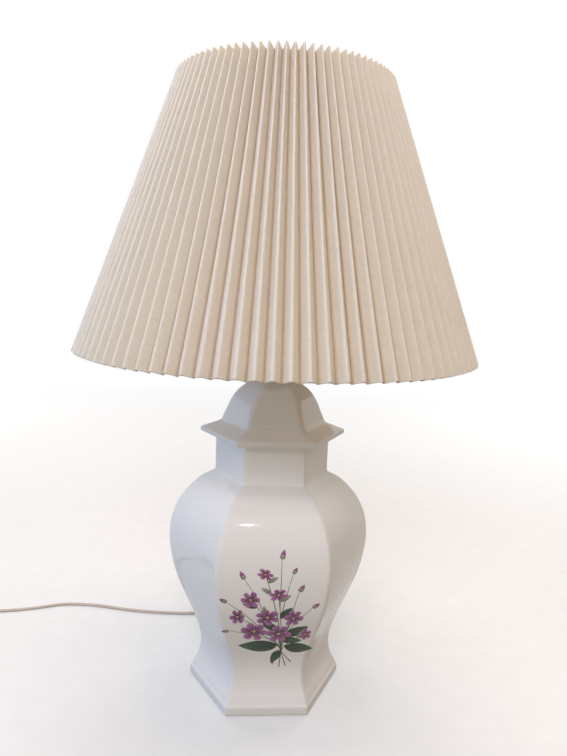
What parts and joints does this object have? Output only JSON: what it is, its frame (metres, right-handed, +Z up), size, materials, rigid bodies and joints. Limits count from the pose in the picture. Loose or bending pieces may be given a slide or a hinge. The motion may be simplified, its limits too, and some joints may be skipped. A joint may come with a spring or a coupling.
{
  "type": "ceramic table lamp",
  "caption": "Ceramic table lamp: a hexagonal lidded jar on a flared foot carries a socket, bulb and harp under a pleated cloth cone shade, with a mains cord and plug.",
  "frame": {"origin": "on the table under the lamp's vertical axis, at the underside of the felt pad", "axes": "+Z up along the pipe and the shade's axis; -Y is the front side with the flowers; +X to the right seen from the front"},
  "size_m": [0.7004, 0.4318, 0.6879],
  "materials": {
    "glazed_ceramic": "white gloss glaze, a spray of flowers on the front side",
    "felt": "dark green felt",
    "zinc_steel": "zinc plated",
    "polished_brass": "polished and lacquered",
    "plated_wire": "brass plated steel wire, satin",
    "white_wire": "white coated steel wire",
    "pleated_cloth": "off-white pleated cloth, fine plain weave",
    "black_moulding": "moulded phenolic",
    "black_knob": "moulded, slight gloss",
    "fibre_sleeve": "pressed fibre board",
    "aluminium_thread": "formed thread",
    "brass_contact": "plain spring brass",
    "frosted_glass": "soft white coated",
    "clear_glass": "clear",
    "black_glass": "black insulating glass",
    "filament_wire": "tungsten wire",
    "cord_sheath": "clear sheath over tinned conductors",
    "plug_moulding": "clear to ivory moulding"
  },
  "bodies": {
    "root": {"jar_body": "glazed_ceramic", "jar_lid": "glazed_ceramic", "felt_pad": "felt", "base_washer": "zinc_steel", "base_lock_washer": "zinc_steel", "base_nut": "zinc_steel", "lamp_pipe": "zinc_steel", "vase_cap": "polished_brass", "check_ring": "polished_brass", "saddle_nut": "polished_brass", "harp_saddle": "plated_wire", "socket_cap": "polished_brass", "socket_shell": "polished_brass", "socket_set_screw": "polished_brass", "insulating_sleeve": "fibre_sleeve", "socket_base": "black_moulding", "screw_shell": "aluminium_thread", "centre_contact": "brass_contact", "terminal_screws": "brass_contact", "cord_bushing": "black_knob", "inner_cord": "cord_sheath", "cord_run": "cord_sheath", "cord_coil": "cord_sheath", "plug_body": "plug_moulding", "plug_blades": "brass_contact"},
    "switch": {"switch_shaft": "brass_contact", "switch_knob": "black_knob"},
    "bulb": {"bulb_glass": "frosted_glass", "bulb_cap": "aluminium_thread", "bulb_insulator": "black_glass", "bulb_contact": "brass_contact", "bulb_stem": "clear_glass", "bulb_filament": "filament_wire"},
    "harp": {"harp_loop": "plated_wire", "harp_seat": "plated_wire"},
    "ferrule_left": {"harp_ferrule_left": "polished_brass"},
    "ferrule_right": {"harp_ferrule_right": "polished_brass"},
    "shade": {"pleated_cover": "pleated_cloth", "shade_bottom_ring": "white_wire", "shade_top_ring": "white_wire", "shade_ribs": "white_wire", "spider_hub": "plated_wire", "spider_arms": "plated_wire"},
    "finial": {"finial": "polished_brass"}
  },
  "joints": [
    {"name": "switch_turn", "type": "hinge", "parent": "root", "child": "switch", "pos_m": [0, -0.02, 0.4066], "axis": [0, -1, 0], "continuous": true},
    {"name": "bulb_turn", "type": "hinge", "parent": "root", "child": "bulb", "pos_m": [0, 0, 0.45], "axis": [0, 0, 1], "continuous": true},
    {"name": "harp_lift", "type": "slide", "parent": "root", "child": "harp", "axis": [0, 0, 1], "range_m": [0, 0.015]},
    {"name": "ferrule_left_slide", "type": "slide", "parent": "harp", "child": "ferrule_left", "axis": [0, 0, 1], "range_m": [0, 0.012]},
    {"name": "ferrule_right_slide", "type": "slide", "parent": "harp", "child": "ferrule_right", "axis": [0, 0, 1], "range_m": [0, 0.012]},
    {"name": "shade_turn", "type": "hinge", "parent": "harp", "child": "shade", "pos_m": [0, 0, 0.653], "axis": [0, 0, 1], "continuous": true},
    {"name": "finial_turn", "type": "hinge", "parent": "harp", "child": "finial", "pos_m": [0, 0, 0.655], "axis": [0, 0, 1], "continuous": true}
  ]
}
